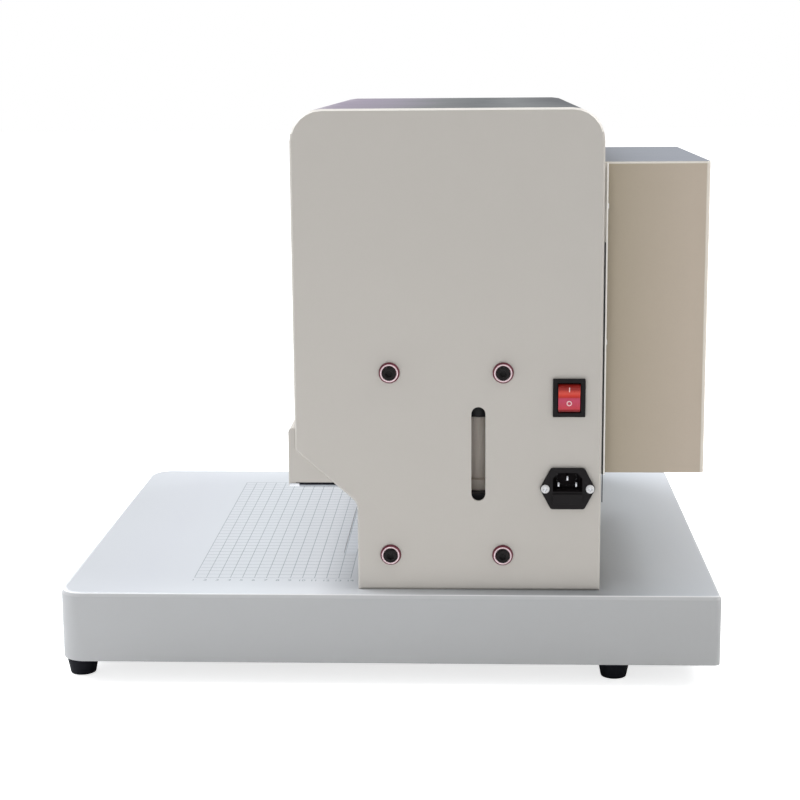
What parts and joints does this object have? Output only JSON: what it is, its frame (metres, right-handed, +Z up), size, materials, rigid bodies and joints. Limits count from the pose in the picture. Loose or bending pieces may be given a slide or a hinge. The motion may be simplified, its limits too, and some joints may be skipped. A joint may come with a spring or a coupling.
{
  "type": "three-hole binding machine",
  "caption": "Electric paper drilling and binding machine: sheet metal cabinet on a flat base, drills, press bar, screw lift, hinged cover, side switch and mains inlet.",
  "frame": {"origin": "on the floor, below the middle of the whole machine's bounding box", "axes": "+X to the operator's right, -Y to the front where paper goes in, +Z up"},
  "size_m": [0.44, 0.535, 0.46],
  "materials": {
    "cabinet_paint": "satin powder coat",
    "cover_film": "satin printed film on painted sheet",
    "rear_box_paint": "satin powder coat",
    "base_paint": "smooth satin paint",
    "galvanised_sheet": "zinc plated sheet",
    "black_steel": "black oxide and black paint",
    "bright_steel": "ground and polished",
    "ground_steel": "machined",
    "tray_steel": "stainless sheet",
    "aluminium": "machined",
    "brass": "machined",
    "motor_paint": "dark paint",
    "rubber": "moulded, matt",
    "nylon": "cut nylon",
    "black_plastic": "fine moulded grain",
    "red_plastic": "translucent, smooth",
    "green_plastic": "smooth",
    "circuit_board": "solder mask"
  },
  "bodies": {
    "machine": {"base_shell": "base_paint", "base_bottom_plate": "galvanised_sheet", "foot_front_right": "rubber", "foot_front_left": "rubber", "foot_rear_right": "rubber", "foot_rear_left": "rubber", "cutting_strip": "nylon", "side_plate_right": "cabinet_paint", "side_plate_left": "cabinet_paint", "frame_plate_right": "black_steel", "frame_plate_left": "black_steel", "frame_bolt_right_1": "black_steel", "frame_bolt_right_2": "black_steel", "frame_bolt_right_3": "black_steel", "frame_bolt_right_4": "black_steel", "frame_bolt_left_1": "black_steel", "frame_bolt_left_2": "black_steel", "frame_bolt_left_3": "black_steel", "frame_bolt_left_4": "black_steel", "lower_beam": "black_steel", "upper_beam": "black_steel", "guide_column_right": "bright_steel", "guide_column_left": "bright_steel", "rear_panel": "cabinet_paint", "front_guard": "cabinet_paint", "guard_edge_strip": "rubber", "back_stop": "bright_steel", "rear_box": "rear_box_paint", "lift_motor": "motor_paint", "lift_belt": "rubber", "control_board": "circuit_board", "switch_housing": "black_plastic", "inlet_housing": "black_plastic", "inlet_pins": "bright_steel"},
    "carriage": {"carriage": "aluminium", "column_bushing_right": "black_steel", "column_bushing_left": "black_steel", "spindle_block": "ground_steel", "drill_motor": "motor_paint", "drill_belt": "rubber", "chip_tray": "tray_steel", "lift_nut": "brass", "press_spring_right": "ground_steel", "press_spring_left": "ground_steel"},
    "press": {"press_bar": "black_steel"},
    "spindle_1": {"spindle_1": "bright_steel", "drill_bit_1": "bright_steel"},
    "spindle_2": {"spindle_2": "bright_steel", "drill_bit_2": "bright_steel"},
    "spindle_3": {"spindle_3": "bright_steel", "drill_bit_3": "bright_steel"},
    "drill_rotor": {"drill_motor_pulley": "aluminium"},
    "lift_screw": {"lift_screw": "bright_steel"},
    "lift_rotor": {"lift_motor_pulley": "aluminium"},
    "cover": {"cover": "cover_film", "display_panel": "black_plastic"},
    "start_button": {"start_button": "green_plastic"},
    "stop_button": {"stop_button": "red_plastic"},
    "rocker": {"rocker": "red_plastic"},
    "fuse_drawer": {"fuse_drawer": "black_plastic"}
  },
  "joints": [
    {"name": "carriage_slide", "type": "slide", "parent": "machine", "child": "carriage", "axis": [0, 0, -1], "range_m": [0, 0.0515]},
    {"name": "press_slide", "type": "slide", "parent": "carriage", "child": "press", "axis": [0, 0, 1], "range_m": [0, 0.05], "stiffness_N_per_m": 700, "springref_m": -0.02, "deforming": ["press_spring_right", "press_spring_left"]},
    {"name": "spindle_2_spin", "type": "hinge", "parent": "carriage", "child": "spindle_2", "pos_m": [0, -0.028, 0.34], "axis": [0, 0, 1], "continuous": true},
    {"name": "spindle_1_spin", "type": "hinge", "parent": "carriage", "child": "spindle_1", "pos_m": [-0.08, -0.028, 0.34], "axis": [0, 0, 1], "continuous": true},
    {"name": "spindle_3_spin", "type": "hinge", "parent": "carriage", "child": "spindle_3", "pos_m": [0.08, -0.028, 0.34], "axis": [0, 0, 1], "continuous": true},
    {"name": "drill_rotor_spin", "type": "hinge", "parent": "carriage", "child": "drill_rotor", "pos_m": [0, 0.025, 0.34], "axis": [0, 0, 1], "continuous": true},
    {"name": "lift_screw_spin", "type": "hinge", "parent": "machine", "child": "lift_screw", "pos_m": [0, 0.0735, 0.3], "axis": [0, 0, 1], "continuous": true},
    {"name": "lift_rotor_spin", "type": "hinge", "parent": "machine", "child": "lift_rotor", "pos_m": [0.06, 0.2057, 0.38], "axis": [0, 0, 1], "continuous": true},
    {"name": "cover_hinge", "type": "hinge", "parent": "machine", "child": "cover", "pos_m": [0, 0.146, 0.435], "axis": [-1, 0, 0], "range_deg": [0, 75]},
    {"name": "start_button_press", "type": "slide", "parent": "cover", "child": "start_button", "axis": [0, 1, 0], "range_m": [0, 0.0025], "stiffness_N_per_m": 400, "springref_m": -0.002},
    {"name": "stop_button_press", "type": "slide", "parent": "cover", "child": "stop_button", "axis": [0, 1, 0], "range_m": [0, 0.0025], "stiffness_N_per_m": 400, "springref_m": -0.002},
    {"name": "rocker_switch", "type": "hinge", "parent": "machine", "child": "rocker", "pos_m": [0.2064, 0.145, 0.23385], "axis": [0, -1, 0], "range_deg": [0, 20]},
    {"name": "fuse_drawer_pull", "type": "slide", "parent": "machine", "child": "fuse_drawer", "axis": [1, 0, 0], "range_m": [0, 0.018]}
  ],
  "couplings": [
    {"joint": "spindle_1_spin", "follows": "spindle_2_spin", "ratio": 1.1667},
    {"joint": "spindle_3_spin", "follows": "spindle_2_spin", "ratio": 1.1667},
    {"joint": "drill_rotor_spin", "follows": "spindle_2_spin", "ratio": 1.5},
    {"joint": "lift_screw_spin", "follows": "carriage_slide", "rad_per_m": 1570.8},
    {"joint": "lift_rotor_spin", "follows": "carriage_slide", "rad_per_m": 1570.8}
  ]
}
